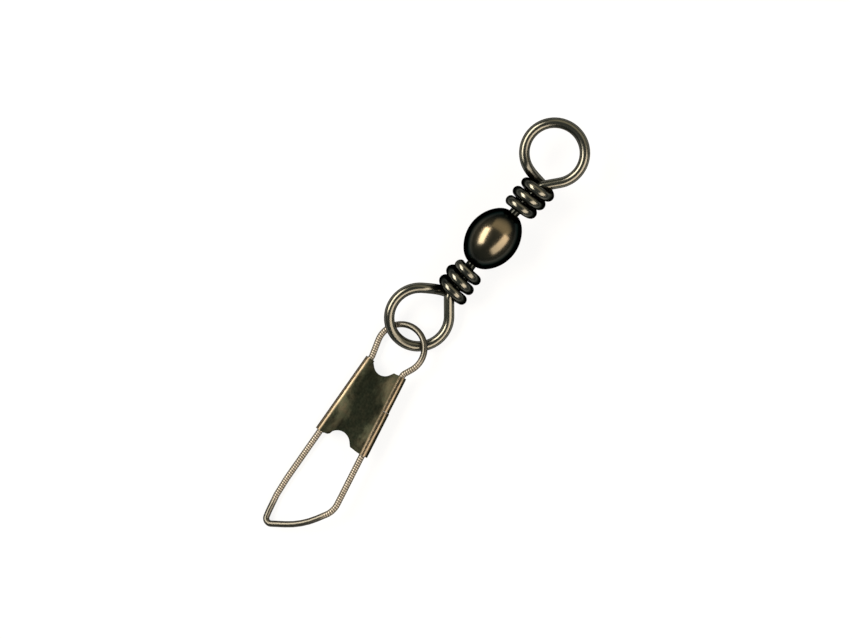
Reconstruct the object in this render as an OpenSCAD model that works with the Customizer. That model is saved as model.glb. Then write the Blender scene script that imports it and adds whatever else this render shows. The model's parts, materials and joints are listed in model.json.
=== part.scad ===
// Barrel swivel with two wrapped wire eyes, and a bent-wire snap linked into the lower eye.
// It lies at rest on the plane z = 0, with the swivel's axis over the X axis and the line eye at +X.
// All sizes are in millimetres and all angles in degrees.

/* [Barrel] */
// Length of the barrel over its two mouths
barrel_l = 7.6; // [6.8:0.1:9]
// Diameter of the barrel at its belly
barrel_d = 6.2; // [5.4:0.1:7]
// Radius of the rounded ends
barrel_end_r = 2.55; // [2.1:0.05:2.6]
// Thickness of the swaged sleeve
barrel_wall = 0.65; // [0.45:0.05:0.8]
// Width of the flat lip round each mouth
barrel_lip = 0.15; // [0.05:0.05:0.3]
// Running gap between a shank and the mouth it turns in
mouth_gap = 0.05; // [0.03:0.01:0.08]

/* [Eye wire] */
// Diameter of the wire of both eyes
eye_wire_d = 1.25; // [1:0.05:1.4]
// Clear diameter inside each eye
eye_bore = 5.83; // [5:0.1:7]
// How far each eye's centre stands off the axis, away from the side that the shank bends to
eye_offset = 0.8; // [0.4:0.1:1.2]
// Slope of the shank's strand as it runs out to the eye
neck_angle = 40; // [34:1:46]
// Slope at which the eye's other strand comes back to the neck
return_angle = 56; // [44:1:58]
// Radius of the shank's bend at the neck, on the wire's centre line
neck_bend_r = 1.3; // [1:0.1:1.6]
// Diameter of the cold-headed end inside the barrel
head_d = 2.6; // [2.2:0.1:2.8]
// Length of the head's rim
head_rim = 0.5; // [0.3:0.1:0.7]
// Free end play between a head and the inside of the barrel
end_play = 0.12; // [0.05:0.01:0.2]

/* [Wraps] */
// Turns of wire wrapped round each shank
wrap_turns = 2.6; // [2.5:0.1:2.7]
// Pitch of the turns
wrap_pitch = 1.42; // [1.4:0.01:1.5]
// Gap between the shank and the turns
wrap_gap = 0.24; // [0.18:0.01:0.3]

/* [Shanks] */
// Bare shank between the barrel's mouth and the line eye's last turn
upper_bare = 0.3; // [0.2:0.01:0.8]
// Bare shank between the barrel's mouth and the lower eye's last turn
lower_bare = 0.16; // [0.1:0.01:0.8]
// Lean of the line eye's shank beyond the mouth
upper_lean = 5.6; // [2:0.1:6]
// Lean of the lower eye's shank beyond the mouth
lower_lean = 3.8; // [2:0.1:6]
// Distance along the line eye's shank from its bend back to the first turn
upper_first_turn = 0.15; // [0.1:0.05:0.4]
// Distance along the lower eye's shank from its bend back to the first turn
lower_first_turn = 0.4; // [0.1:0.05:0.4]

/* [Snap wire] */
// Diameter of the snap's wire
snap_wire_d = 0.75; // [0.65:0.05:0.85]
// Mean radius of the snap's loop
loop_r = 2.89; // [2.7:0.01:3.1]
// Distance between the centres of the loop and of the eye that it is linked through
link = 4.33; // [4.2:0.01:4.6]
// Length of the hook beyond the plate
hook_l = 12.8; // [11:0.1:15]
// Radius of the hook's point, on the wire's centre line
point_r = 0.65; // [0.55:0.05:0.8]
// Radius of the hook's rounded corner
corner_r = 2.6; // [1.5:0.1:3]
// Distance from the hook's tip back to its rounded corner
corner_back = 5.45; // [5:0.05:6.5]
// Distance from the hook's tip back to the bend in the wire that slants up to the point
slant_back = 2.15; // [1.9:0.05:2.5]
// How far that bend lies across the hook from the point
slant_drop = 4.1; // [3.7:0.1:4.3]
// Distance from the hook's tip back to the middle of the closed leg's bow
bow_back = 3.7; // [3.2:0.1:5]
// How far the closed leg bows out beside the hook
leg_bow = 0.72; // [0.4:0.02:1]

/* [Snap plate] */
// Length of the plate
plate_l = 10.3; // [8:0.1:12]
// Thickness of the plate's sheet
sheet = 0.2; // [0.15:0.01:0.25]
// Distance from the loop's centre to the plate
plate_gap = 2.8; // [2.6:0.05:3.2]
// Distance of the closed leg from the snap's axis at the plate's loop end
closed_near = 2.54; // [2.4:0.01:2.6]
// Distance of the closed leg from the snap's axis at the plate's hook end
closed_far = 3.42; // [3.2:0.01:3.6]
// Distance of the open leg from the snap's axis at the plate's loop end
open_near = 1.88; // [1.7:0.01:2.1]
// Distance of the open leg from the snap's axis at the plate's hook end
open_far = 2.54; // [2.3:0.01:2.7]
// Play between the wire and the rolled edges
roll_gap = 0.02; // [0.01:0.01:0.04]
// Extra room in the open channel for the wire's free leg
channel_room = 0.05; // [0.03:0.01:0.08]
// Length of the open channel
channel_l = 5.75; // [4:0.05:6.5]
// Width, depth and root radius of the notch at the loop end
loop_notch = [3.05, 1.15, 0.9];
// Distance of the loop end's notch from the snap's axis
loop_notch_off = 0.57; // [0.4:0.01:0.6]
// Width, depth and root radius of the notch at the hook end
hook_notch = [3.25, 1.25, 0.95];
// Distance of the hook end's notch from the snap's axis
hook_notch_off = 0.7; // [0.5:0.05:0.9]

/* [Rest on the table] */
// Roll of the lower eye about the swivel's axis
eye_roll = 14; // [14:0.1:16]
// Roll of the snap, the other way
snap_roll = 15.2; // [15.2:0.1:17]
// Turn of the snap from the swivel's axis, seen from above
snap_yaw = 9.2; // [-20:0.1:20]

/* [Hidden] */

$fn = 96;
// Sides of a swept wire, and the most it turns between two rings
WIRE_SIDES = 16;
WIRE_STEP = 12;
// How much thinner a swept wire is than the round piece that it runs into
SEAT = 0.004;
// Angle over which a swept wire follows the loop that it runs into
OVERLAP = 3;
// Turn at which an eye's second strand has come round to its wraps, and the rings that lead it there
FIRST_ANGLE = -60;
CROSSING_STEPS = 12;

BARREL_COLOUR = [0.13, 0.13, 0.12];
EYE_COLOUR = [0.33, 0.29, 0.23];
SNAP_COLOUR = [0.52, 0.49, 0.43];
PLATE_COLOUR = [0.22, 0.21, 0.15];

// Barrel: a belly arc that runs smoothly into two rounded ends
mouth_r = eye_wire_d / 2 + mouth_gap;
end_x = barrel_l / 2 - sqrt(pow(barrel_end_r, 2) - pow(mouth_r + barrel_lip, 2));
belly_r = (pow(end_x, 2) + pow(barrel_d / 2, 2) - pow(barrel_end_r, 2)) / (barrel_d - 2 * barrel_end_r);

// Eyes
wire_r = eye_wire_d / 2;
eye_r = (eye_bore + eye_wire_d) / 2;
wrap_r = eye_wire_d + wrap_gap;
shank_out = 0.1;
shank_end = barrel_l / 2 + shank_out;
shank_lap = 0.4;
lean_bend_r = 1.5;
head_r = head_d / 2;
head_crown_r = 0.8;
head_dome = 0.5;
head_taper = 0.4;
rim_x = end_x + sqrt(pow(barrel_end_r - barrel_wall, 2) - pow(head_r, 2)) - end_play;
last_angle = FIRST_ANGLE + 360 * wrap_turns;
wraps_l = wire_r + wrap_pitch * last_angle / 360;
lower_neck = neck(lower_bare, lower_lean, lower_first_turn);
upper_reach = reach(neck(upper_bare, upper_lean, upper_first_turn));
lower_reach = reach(lower_neck);

// Snap
snap_r = snap_wire_d / 2;
foot_out = 0.3;
foot_r = 0.8;
bow_r = 20;
slant_r = 9;
point_in = 0.2;
roll_r = snap_r + roll_gap;
bead_r = roll_r + sheet;
channel_r = roll_r + channel_room;
end_gap = 0.15;
near_x = -plate_gap;
far_x = -plate_gap - plate_l;
split_x = far_x + channel_l;
tip_at = far_x - hook_l;
corner_at = tip_at + corner_back;
corner_inset = 0.26;
roll_sweep = 245;
channel_sweep = 200;
flap = 0.2;

// Rest: the barrel's belly and the turn at the lower eye's neck lie on the table
turn_x = lower_neck[0] - lower_first_turn - wrap_pitch * FIRST_ANGLE / 360;
turn_drop = wrap_r + wire_r + lower_neck[1] * sin(eye_roll);
belly_in = belly_r - barrel_d / 2;
dip = atan2(turn_x, belly_in + turn_drop) - acos(belly_r / norm([turn_x, belly_in + turn_drop]));
barrel_z = belly_r - belly_in * cos(dip);
eye_z = barrel_z - lower_reach * sin(dip) + eye_offset * sin(eye_roll) * cos(dip);

// The snap lies on its closed edge at the plate's hook end, and its plane meets the eye's between their centres
chord = (link * link + eye_r * eye_r - loop_r * loop_r) / (2 * link);
chord_z = eye_z - chord * (tan(dip) * cos(snap_yaw) + tan(eye_roll) * sin(snap_yaw) / cos(dip));
snap_pitch = asin((closed_far * sin(snap_roll) + bead_r - chord_z) / (link - chord - far_x));
snap_z = chord_z + (link - chord) * sin(snap_pitch);

// The origin lies under the middle of the part's length and width
eye_out = eye_r + wire_r;
loop_x = -lower_reach * cos(dip) - link * cos(snap_yaw);
loop_y = eye_offset - link * sin(snap_yaw);
tip_x = loop_x + tip_at * cos(snap_yaw) - closed_far * sin(snap_yaw);
low_y = loop_y + corner_at * sin(snap_yaw) + open_y(corner_at) * cos(snap_yaw) + corner_inset - snap_r;
barrel_x = -(tip_x + (upper_reach + eye_out) * cos(dip)) / 2;
barrel_y = -(low_y + eye_offset + eye_out) / 2;

// An eye's shank leans from its foot, carries the wraps and bends at its neck, one turn's lead beyond them
function foot(lean) = [shank_end + lean_bend_r * tan(lean / 2), 0];
function along(lean) = [cos(lean), sin(lean)];
function neck(bare, lean, first_turn) =
    foot(lean) + along(lean) * (barrel_l / 2 + bare + wraps_l + first_turn - foot(lean)[0]);

// Distance out to the centre of a loop that the strand from the neck just touches
function reach(neck) =
    neck[0] + (eye_r - cos(neck_angle) * (eye_offset + neck[1])) / sin(neck_angle);

function unit(v) = v / norm(v);
function flat(p) = [p[0], p[1], 0];

// Direction from point p along its tangent to the circle of radius r round the origin
function tangent_from(p, r, side) =
    atan2(-p[1], -p[0]) + side * asin(r / norm(p));

// Arc that rounds the corner at b between a and c
function corner_arc(a, b, c, r) =
    let(u = unit(a - b), v = unit(c - b), half = acos(u * v) / 2,
        centre = b + unit(u + v) * r / sin(half),
        from = b + u * r / tan(half) - centre,
        sweep = sign(cross(b - a, c - b)) * (180 - 2 * half),
        steps = max(1, ceil(abs(sweep) / WIRE_STEP)))
    [for (k = [0:steps]) let(t = sweep * k / steps)
        centre + [from[0] * cos(t) - from[1] * sin(t), from[0] * sin(t) + from[1] * cos(t)]];

// A flat path through corners, each rounded to its own radius
function rounded(corners, radii) =
    [for (i = [0:len(corners) - 1])
        each (i == 0 || i == len(corners) - 1)
            ? [corners[i]]
            : corner_arc(corners[i - 1], corners[i], corners[i + 1], radii[i])];

function arc(centre, r, from, to, steps) =
    [for (k = [0:steps]) let(t = from + (to - from) * k / steps) centre + r * [cos(t), sin(t)]];

// A cubic from p to q that leaves along the vector u and arrives along the vector v
function blend(p, u, q, v, steps) =
    [for (k = [0:steps]) let(t = k / steps)
        p * (1 + 2 * t) * pow(1 - t, 2) + u * t * pow(1 - t, 2)
        + q * (3 - 2 * t) * t * t - v * t * t * (1 - t)];

// Round wire swept along a path, its section carried along without twist
module wire(path, r, up) {
    last = len(path) - 1;
    heading = [for (i = [0:last]) unit(path[min(i + 1, last)] - path[max(i - 1, 0)])];
    across = [for (i = 0, a = unit(up - heading[0] * (up * heading[0]));
                   i <= last;
                   i = i + 1, a = i > last ? a : unit(a - heading[i] * (a * heading[i]))) a];
    ring = [for (i = [0:last]) for (k = [0:WIRE_SIDES - 1]) let(t = 360 * k / WIRE_SIDES)
        path[i] + r * (across[i] * cos(t) + cross(heading[i], across[i]) * sin(t))];
    skin = [for (i = [0:last - 1]) for (k = [0:WIRE_SIDES - 1])
        let(a = i * WIRE_SIDES + k, b = i * WIRE_SIDES + (k + 1) % WIRE_SIDES)
        each [[a, b + WIRE_SIDES, b], [a, a + WIRE_SIDES, b + WIRE_SIDES]]];
    start = [for (k = [0:WIRE_SIDES - 1]) k];
    stop = [for (k = [WIRE_SIDES - 1:-1:0]) last * WIRE_SIDES + k];
    polyhedron(points = ring, faces = concat(skin, [start, stop]), convexity = 8);
}

// Half outline of the barrel, drawn in by a given wall
module barrel_outline(inset) {
    seam = (belly_r - inset) * end_x / (belly_r - barrel_end_r);
    intersection() {
        translate([0, -barrel_l / 2])
            square([barrel_d, barrel_l]);
        union() {
            intersection() {
                translate([barrel_d / 2 - belly_r, 0])
                    circle(r = belly_r - inset);
                translate([0, -seam])
                    square([barrel_d, 2 * seam]);
            }
            for (s = [-1, 1])
                translate([0, s * end_x])
                    circle(r = barrel_end_r - inset);
        }
    }
}

// Swaged sleeve with a mouth at each end
module barrel_sleeve() {
    rotate([0, 90, 0])
        difference() {
            rotate_extrude()
                barrel_outline(0);
            rotate_extrude()
                barrel_outline(barrel_wall);
            cylinder(r = mouth_r, h = 2 * barrel_l, center = true);
        }
}

// Headed shank, on the barrel's axis out to just beyond the mouth
module headed_shank() {
    rotate([0, 90, 0])
        rotate_extrude()
            polygon([
                [0, rim_x - head_rim - head_dome],
                [head_crown_r, rim_x - head_rim - head_dome],
                [head_r, rim_x - head_rim],
                [head_r, rim_x],
                [wire_r, rim_x + head_taper],
                [wire_r, shank_end],
                [0, shank_end]
            ]);
}

// One wrapped eye, lying flat with its loop towards +X and its shank bent towards +Y
module wrapped_eye(bare, lean, first_turn) {
    neck = neck(bare, lean, first_turn);
    centre = [reach(neck), -eye_offset];
    swept_r = wire_r - SEAT;
    from = 90 + neck_angle;
    to = -90 - return_angle;

    // The wraps: an angle about the shank's line from its +Y side, which runs back towards the barrel
    function helix(a) =
        let(s = first_turn + wrap_pitch * a / 360, t = wrap_r * cos(a))
        flat(neck - s * along(lean) + t * [-sin(lean), cos(lean)]) + [0, 0, wrap_r * sin(a)];

    headed_shank();

    translate(flat(centre))
        rotate([0, 0, to])
            rotate_extrude(angle = from - to)
                translate([eye_r, 0])
                    circle(r = wire_r);

    shank_path = concat(
        rounded([[shank_end - shank_lap, 0], foot(lean), neck, centre + eye_r * [cos(from), sin(from)]],
            [0, lean_bend_r, neck_bend_r, 0]),
        arc(centre, eye_r, from - OVERLAP / 3, from - OVERLAP, 1));
    wire([for (p = shank_path) flat(p)], swept_r, [0, 0, 1]);

    // The other strand passes under the shank and winds back towards the barrel
    leave = centre + eye_r * [cos(to), sin(to)];
    arrive = helix(FIRST_ANGLE);
    span = norm(flat(leave) - arrive);
    crossing = blend(flat(leave), span * [sin(to), -cos(to), 0],
        arrive, span * unit(helix(FIRST_ANGLE + 1) - arrive), CROSSING_STEPS);
    wraps = [for (a = [FIRST_ANGLE + WIRE_STEP:WIRE_STEP:last_angle]) helix(a)];
    lead = [for (p = arc(centre, eye_r, to + OVERLAP, to + OVERLAP / 3, 1)) flat(p)];
    wire(concat(lead, crossing, wraps), swept_r, [0, 0, 1]);
}

// Distance of a leg from the snap's axis at a place along the plate
function closed_y(x) = closed_near + (near_x - x) * (closed_far - closed_near) / plate_l;
function open_y(x) = -open_near - (near_x - x) * (open_far - open_near) / plate_l;

// Bent spring wire, its loop round the origin and its hook towards -X
module bent_wire() {
    swept_r = snap_r - SEAT;
    closed_foot = [near_x + foot_out, closed_y(near_x + foot_out)];
    open_foot = [near_x + foot_out, open_y(near_x + foot_out)];
    closed_dir = tangent_from(closed_foot, loop_r, 1);
    open_dir = tangent_from(open_foot, loop_r, -1);
    from = closed_dir + 90;
    to = open_dir - 90;

    rotate([0, 0, to])
        rotate_extrude(angle = from - to)
            translate([loop_r, 0])
                circle(r = snap_r);

    // Fixed end, crimped in the plate
    fixed_x = split_x + end_gap;
    fixed = concat(
        rounded([[fixed_x, open_y(fixed_x)], open_foot, loop_r * [cos(to), sin(to)]], [0, foot_r, 0]),
        arc([0, 0], loop_r, to + OVERLAP / 3, to + OVERLAP, 1));
    wire([for (p = fixed) flat(p)], swept_r, [0, 0, 1]);

    // Closed leg, pointed hook and free leg
    bow = [tip_at + bow_back, closed_far + leg_bow];
    point = [tip_at, closed_far + point_in];
    slant = [tip_at + slant_back, point[1] - slant_drop];
    corner = [corner_at, open_y(corner_at)];
    free_x = split_x - end_gap;
    hook = concat(
        arc([0, 0], loop_r, from - OVERLAP, from - OVERLAP / 3, 1),
        rounded(
            [loop_r * [cos(from), sin(from)], closed_foot, bow, point, slant, corner, [free_x, open_y(free_x)]],
            [0, foot_r, bow_r, point_r, slant_r, corner_r, 0]));
    wire([for (p = hook) flat(p)], swept_r, [0, 0, 1]);
}

// Rounded V cut into the plate's end, opening towards +X from a root at -X
module notch(size) {
    root = [-size[1] + size[2], 0];
    for (s = [-1, 1]) {
        mouth = [0, s * size[0] / 2];
        reach = norm(mouth - root);
        a = atan2(mouth[1], -root[0]) + s * acos(size[2] / reach);
        touch = root + size[2] * [cos(a), sin(a)];
        polygon([root, touch, mouth, [size[1], mouth[1]], [size[1], 0]]);
    }
    translate(root)
        circle(r = size[2]);
}

// Section of a rolled edge, its flap towards -X and its curl turning down round the wire
module rolled_edge(r, sweep) {
    translate([0, roll_r - r])
        difference() {
            circle(r = r + sheet);
            circle(r = r);
            wedge(90, 450 - sweep, 3 * r);
        }
    translate([-flap, roll_r])
        square([flap, sheet]);
}

// Sector between two angles, at most a half turn wide
module wedge(from, to, r) {
    mid = (from + to) / 2;
    polygon([[0, 0], r * [cos(from), sin(from)], r * [cos(mid), sin(mid)], r * [cos(to), sin(to)]]);
}

// Rolled edge laid along the snap from one place to another
module edge_roll(a, b, r, sweep, side) {
    translate(flat(a))
        rotate([0, 0, atan2(b[1] - a[1], b[0] - a[0])])
            rotate([90, 0, 90])
                linear_extrude(norm(b - a))
                    scale([side, 1])
                        rolled_edge(r, sweep);
}

module folded_plate() {
    closed_a = [far_x, closed_y(far_x)];
    closed_b = [near_x, closed_y(near_x)];
    open_a = [far_x, open_y(far_x)];
    open_b = [near_x, open_y(near_x)];
    open_mid = [split_x, open_y(split_x)];
    translate([0, 0, roll_r])
        linear_extrude(sheet)
            difference() {
                polygon([closed_a, closed_b, open_b, open_a]);
                translate([near_x, loop_notch_off])
                    notch(loop_notch);
                translate([far_x, hook_notch_off])
                    mirror([1, 0])
                        notch(hook_notch);
            }
    edge_roll(closed_a, closed_b, roll_r, roll_sweep, 1);
    edge_roll(open_mid, open_b, roll_r, roll_sweep, -1);
    edge_roll(open_a, open_mid, channel_r, channel_sweep, -1);
}

// Places of the bodies on the table
module on_swivel() {
    translate([barrel_x, barrel_y, barrel_z])
        rotate([0, -dip, 0])
            children();
}

module on_snap() {
    translate([barrel_x + loop_x, barrel_y + loop_y, snap_z])
        rotate([0, 0, snap_yaw])
            rotate([0, snap_pitch, 0])
                rotate([-snap_roll, 0, 0])
                    children();
}

module barrel() {
    color(BARREL_COLOUR)
        on_swivel()
            barrel_sleeve();
}

module upper_eye() {
    color(EYE_COLOUR)
        on_swivel()
            mirror([0, 1, 0])
                wrapped_eye(upper_bare, upper_lean, upper_first_turn);
}

module lower_eye() {
    color(EYE_COLOUR)
        on_swivel()
            rotate([eye_roll, 0, 0])
                rotate([0, 0, 180])
                    wrapped_eye(lower_bare, lower_lean, lower_first_turn);
}

module snap_wire() {
    color(SNAP_COLOUR)
        on_snap()
            bent_wire();
}

module snap_plate() {
    color(PLATE_COLOUR)
        on_snap()
            folded_plate();
}

barrel();
upper_eye();
lower_eye();
snap_wire();
snap_plate();
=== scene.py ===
"""Fishing snap swivel on a white table: a barrel, two wrapped wire eyes, and a wire snap with its plate.

Every piece is formed the way it is made: wire is fed and bent, the barrel is turned, and the plate is cut
and rolled. All lengths are in metres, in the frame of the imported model.
"""

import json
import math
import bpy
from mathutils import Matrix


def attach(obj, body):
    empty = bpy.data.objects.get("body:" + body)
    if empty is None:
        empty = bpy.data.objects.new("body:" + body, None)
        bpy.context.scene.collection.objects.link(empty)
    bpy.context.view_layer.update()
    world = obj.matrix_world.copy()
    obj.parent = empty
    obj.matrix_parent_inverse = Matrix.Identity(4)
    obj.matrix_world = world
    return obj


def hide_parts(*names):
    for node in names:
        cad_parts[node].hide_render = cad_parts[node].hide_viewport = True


bl_info = {
    "name": "Snap Swivel",
    "version": (1, 0, 0),
    "blender": (4, 5, 0),
    "location": "View3D > Sidebar > Snap Swivel",
    "description": "Forms the barrel, wrapped eyes, snap wire and locking plate round the packed model",
    "category": "Object",
}

import bmesh
import bpy
from bpy.props import FloatProperty, FloatVectorProperty, PointerProperty
from mathutils import Matrix, Vector

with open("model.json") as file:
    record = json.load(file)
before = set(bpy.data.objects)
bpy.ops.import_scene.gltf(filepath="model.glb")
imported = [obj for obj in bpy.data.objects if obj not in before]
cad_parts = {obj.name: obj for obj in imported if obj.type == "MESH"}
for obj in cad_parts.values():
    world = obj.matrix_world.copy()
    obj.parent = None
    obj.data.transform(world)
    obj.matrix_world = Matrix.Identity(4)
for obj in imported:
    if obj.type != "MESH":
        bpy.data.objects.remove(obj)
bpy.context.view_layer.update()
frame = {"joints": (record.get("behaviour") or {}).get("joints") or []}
JOINTS = {joint["name"]: joint for joint in frame["joints"]}

MM = 0.001
UP = Vector((0, 0, 1))
# Points closer than this are one point
NEAR = 1e-7
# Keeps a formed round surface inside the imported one
SLIM = 0.004 * MM
# Bevel of the barrel's lips and of the snap wire's ends
BROKEN = 0.04 * MM


def length(name, description, default_mm):
    """A size in the sidebar, stored in metres."""
    return FloatProperty(
        name=name, description=description, default=default_mm * MM, unit="LENGTH", precision=5
    )


def angle(name, description, degrees):
    """An angle in the sidebar, stored in radians."""
    return FloatProperty(
        name=name, description=description, default=math.radians(degrees), subtype="ANGLE"
    )


def colour(name, description, rgb):
    """A colour in the sidebar, linear."""
    return FloatVectorProperty(
        name=name, description=description, default=rgb, size=3, min=0, max=1, subtype="COLOR"
    )


class BarrelSizes(bpy.types.PropertyGroup):
    """Sizes and plating of the swaged barrel"""

    length: length("Length", "Length over the two mouths", 7.6)
    diameter: length("Diameter", "Diameter at the belly", 6.2)
    end_radius: length("End radius", "Radius of the rounded ends", 2.55)
    mouth_radius: length("Mouth radius", "Radius of the hole that each shank turns in", 0.675)
    lip: length("Lip", "Width of the flat lip round each mouth", 0.15)
    wall: length("Wall", "Thickness of the sleeve", 0.65)
    plating: colour("Plating", "Black nickel plating", (0.028, 0.036, 0.034))
    # Painted shade: this colour darkens the barrel low on its sides
    painted_flank_shade: colour("Flank", "Deeper plating low on the sides", (0.008, 0.012, 0.012))
    # This colour gives the plating's own bronze patches, and also the painted highlight on top of the
    # belly
    tint: colour("Tint", "Bronze patches in the plating", (0.19, 0.152, 0.1))
    brass: colour("Brass", "Worn brass at the mouths", (0.45, 0.31, 0.14))


class EyeSizes(bpy.types.PropertyGroup):
    """Sizes and finish of the two wrapped eyes"""

    wire: length("Wire", "Diameter of the wire", 1.25)
    loop_radius: length("Loop radius", "Radius of the loop on the wire's centre line", 3.54)
    offset: length("Offset", "How far the loop's centre stands off the axis", 0.8)
    neck_angle: angle("Neck angle", "Slope of the shank's strand beyond the neck", 40)
    return_angle: angle("Return angle", "Slope of the strand that comes back", 56)
    neck_bend: length("Neck bend", "Radius of the bend at the neck", 1.3)
    foot_bend: length("Foot bend", "Radius of the shank's slight bend beyond the mouth", 1.5)
    foot_out: length("Foot out", "Straight shank beyond the mouth", 0.1)
    head_radius: length("Head radius", "Radius of the cold-headed end", 1.3)
    head_play: length("Head play", "Free play between the head and the barrel's inside", 0.12)
    head_crown: length("Head crown", "Radius of the flat at the head's end", 0.8)
    head_dome: length("Head dome", "Length of the head's rounded end", 0.5)
    head_rim: length("Head rim", "Length of the head's full width", 0.5)
    head_taper: length("Head taper", "Length in which the head narrows to the shank", 0.4)
    wrap_radius: length("Wrap radius", "Radius of the wraps on the wire's centre line", 1.49)
    wrap_pitch: length("Wrap pitch", "Advance of the wraps in one turn", 1.42)
    wrap_turns: FloatProperty(name="Wrap turns", description="Turns round the shank", default=2.6)
    wrap_start: angle("Wrap start", "Place round the shank where the first turn begins", -60)
    line_bare: length("Line eye, bare", "Bare shank between mouth and wraps", 0.3)
    line_turn: length("Line eye, first turn", "Distance from the neck to the first turn", 0.15)
    line_lean: angle("Line eye, lean", "Lean of the shank beyond the mouth", 5.6)
    snap_bare: length("Snap eye, bare", "Bare shank between mouth and wraps", 0.16)
    snap_turn: length("Snap eye, first turn", "Distance from the neck to the first turn", 0.4)
    snap_lean: angle("Snap eye, lean", "Lean of the shank beyond the mouth", 3.8)
    snap_roll: angle("Snap eye, roll", "Roll of the eye about the swivel's axis", 14)
    finish: colour("Finish", "Bronze-black plated wire", (0.14, 0.137, 0.115))
    dark: colour("Dark", "Darker streaks along the wire", (0.045, 0.048, 0.045))
    nick: colour("Nick", "Bare metal in the nicks of the bending tool", (0.32, 0.27, 0.2))
    # Painted shade: near black between the wraps and on their flanks
    hollow: colour("Hollow", "Near-black plating round the wraps", (0.018, 0.02, 0.018))


class SnapSizes(bpy.types.PropertyGroup):
    """Sizes and finish of the snap's spring wire"""

    wire: length("Wire", "Diameter of the wire", 0.75)
    link: length("Link", "Distance between the centres of the small loop and of the eye", 4.33)
    yaw: angle("Yaw", "Turn of the snap on the table", 9.2)
    roll: angle("Roll", "Roll of the snap on to its closed edge", 15.2)
    bead: length("Bead", "Outer radius of the closed rolled edge", 0.595)
    loop_radius: length("Loop radius", "Radius of the small loop on the wire's centre line", 2.89)
    plate_near: length("Plate's loop end", "Distance from the loop's centre to the plate", 2.8)
    plate_far: length("Plate's hook end", "Distance from the loop's centre to the plate's far end", 13.1)
    foot: length("Foot", "Distance from the plate's loop end to the bend of each leg", 0.3)
    closed_near: length("Closed leg, near", "Closed leg's distance from the axis at the loop end", 2.54)
    closed_far: length("Closed leg, far", "Closed leg's distance from the axis at the hook end", 3.42)
    open_near: length("Open leg, near", "Open leg's distance from the axis at the loop end", 1.88)
    open_far: length("Open leg, far", "Open leg's distance from the axis at the hook end", 2.54)
    split: length("Split", "Distance from the loop's centre to the start of the open channel", 7.35)
    end_gap: length("End gap", "Distance of each wire end from the split", 0.15)
    hook: length("Hook", "Length of the hook beyond the plate", 12.8)
    bow_back: length("Bow back", "Distance from the tip back to the bow", 3.7)
    bow: length("Bow", "How far the closed leg bows out", 0.72)
    point_in: length("Point in", "How far the tip stands beyond the closed leg's line", 0.2)
    slant_back: length("Slant back", "Distance from the tip back to the slant's bend", 2.15)
    slant_drop: length("Slant drop", "Distance of that bend across the hook", 4.1)
    corner_back: length("Corner back", "Distance from the tip back to the rounded corner", 5.45)
    foot_bend: length("Foot bend", "Radius of the bends beside the plate", 0.8)
    bow_bend: length("Bow bend", "Radius of the bow", 20)
    point_bend: length("Point bend", "Radius of the tip", 0.65)
    slant_bend: length("Slant bend", "Radius of the slant's bend", 9)
    corner_bend: length("Corner bend", "Radius of the rounded corner", 2.6)
    rib: length("Rib", "Spacing of the ribs", 0.28)
    finish: colour("Finish", "Dull grey-olive spring wire", (0.315, 0.285, 0.245))
    # Painted shade: this colour darkens the hollows between the ribs
    dark: colour("Dark", "Hollows between the ribs", (0.09, 0.084, 0.066))
    worn: colour("Worn", "Dark plating left where no rib shows", (0.098, 0.094, 0.08))


class PlateSizes(bpy.types.PropertyGroup):
    """Sizes and finish of the folded locking plate"""

    sheet: length("Sheet", "Thickness of the sheet", 0.2)
    roll: length("Roll", "Inner radius of the rolled edges", 0.395)
    channel: length("Channel", "Inner radius of the open channel", 0.445)
    slit: length("Slit", "Width of the slit between crimp and channel", 0.02)
    rolled: angle("Rolled", "How far round the wire a closed edge is rolled", 238)
    channel_rolled: angle("Channel rolled", "How far round the wire the open channel goes", 196)
    sheared: length("Sheared edge", "Rounding of the sheet's sheared edges", 0.035)
    finish: colour("Finish", "Dark olive plating", (0.026, 0.028, 0.018))
    dark: colour("Dark", "Near-black patches", (0.004, 0.006, 0.004))
    bronze: colour("Bronze", "Bronze patches", (0.04, 0.034, 0.022))
    # This colour is a painted highlight along the tops of the rolled edges
    painted_highlight: colour("Rubbed", "Plating rubbed thin along the bends", (0.23, 0.185, 0.13))


class StageSettings(bpy.types.PropertyGroup):
    """Table, lamps and camera"""

    table: colour("Table", "White table", (0.88, 0.88, 0.88))
    fibre: colour("Fibre", "Darker fibres in the table's paper", (0.84, 0.84, 0.84))
    table_glow: FloatProperty(
        name="Table glow", description="Share of plain white in what the camera sees of it", default=0.86
    )
    table_size: length("Table size", "Side of the table", 6000)
    view_distance: length("View distance", "Height of the camera over the plane of the view width", 500)
    view_height: length("View height", "Height of the plane whose width the picture shows", 2.5)
    view_width: length("View width", "Width of the picture at that height", 99.9)
    view_turn: angle("View turn", "Turn of the picture on the table", -50.4)
    view_x: length("View X", "Middle of the picture along X", 0.98)
    view_y: length("View Y", "Middle of the picture along Y", 0.62)
    key: FloatProperty(name="Key", description="Radiance of the strip on the eyes' side", default=12)
    fill: FloatProperty(name="Fill", description="Radiance of the strip on the other side", default=5)
    end: FloatProperty(name="End", description="Radiance of the panel beyond the line eye", default=0.85)
    room: FloatProperty(name="Room", description="Strength of the plain surroundings", default=0.14)
    room_tint: colour("Room tint", "Colour of the plain surroundings", (0.85, 1.0, 0.97))


# Places


def swivel_place(roll=0.0, half_turn=0.0, mirrored=False):
    """Place of a piece drawn along +X from the barrel's centre."""
    spin = JOINTS["upper_eye_spin"]
    dip = math.asin(Vector(spin["axis"]).normalized().z)
    place = Matrix.Translation(spin["pos_m"]) @ Matrix.Rotation(-dip, 4, "Y")
    place = place @ Matrix.Rotation(roll, 4, "X") @ Matrix.Rotation(half_turn, 4, "Z")
    if mirrored:
        place = place @ Matrix.Scale(-1, 4, Vector((0, 1, 0)))
    return place


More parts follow.
